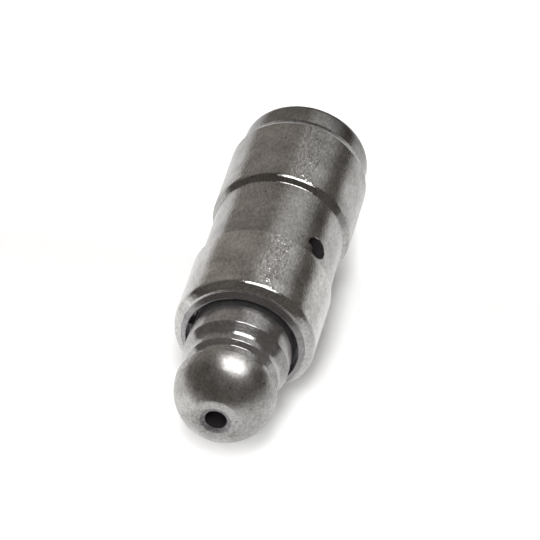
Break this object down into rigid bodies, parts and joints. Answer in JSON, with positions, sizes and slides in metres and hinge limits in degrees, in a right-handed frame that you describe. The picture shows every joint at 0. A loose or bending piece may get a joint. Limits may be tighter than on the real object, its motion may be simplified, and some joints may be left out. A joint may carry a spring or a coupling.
{
  "type": "hydraulic valve lifter",
  "caption": "Pivot-type hydraulic valve lifter: a stepped steel cup with an oil feed hole, and a sprung, ball-headed plunger that slides in it to take up valve lash.",
  "frame": {"origin": "centre of the closed end's flat face, on the lifter's axis", "axes": "+Z along the lifter's axis, from the closed end to the ball head; the oil feed hole points to azimuth 232.5 degrees from +X"},
  "size_m": [0.012, 0.012, 0.0355],
  "materials": {
    "body_steel": "ground satin steel",
    "plunger_steel": "fine turned and polished steel",
    "sheet_steel": "stamped sheet",
    "ball_steel": "polished",
    "spring_steel": "drawn wire",
    "ring_steel": "oiled spring steel"
  },
  "bodies": {
    "housing": {"body": "body_steel", "retaining_ring": "ring_steel", "return_spring": "spring_steel"},
    "piston": {"lower_plunger": "plunger_steel", "ball_cage": "sheet_steel", "ball_spring": "spring_steel"},
    "head": {"upper_plunger": "plunger_steel"},
    "valve_ball": {"check_ball": "ball_steel"}
  },
  "joints": [
    {"name": "plunger_slide", "type": "slide", "parent": "housing", "child": "piston", "axis": [0, 0, -1], "range_m": [0, 0.0035], "stiffness_N_per_m": 2000, "springref_m": -0.004, "deforming": ["return_spring"]},
    {"name": "head_spin", "type": "hinge", "parent": "piston", "child": "head", "pos_m": [0, 0, 0.0129], "axis": [0, 0, 1], "continuous": true},
    {"name": "ball_lift", "type": "slide", "parent": "piston", "child": "valve_ball", "axis": [0, 0, -1], "range_m": [0, 0.0003], "stiffness_N_per_m": 20, "springref_m": -0.0005, "deforming": ["ball_spring"]}
  ]
}
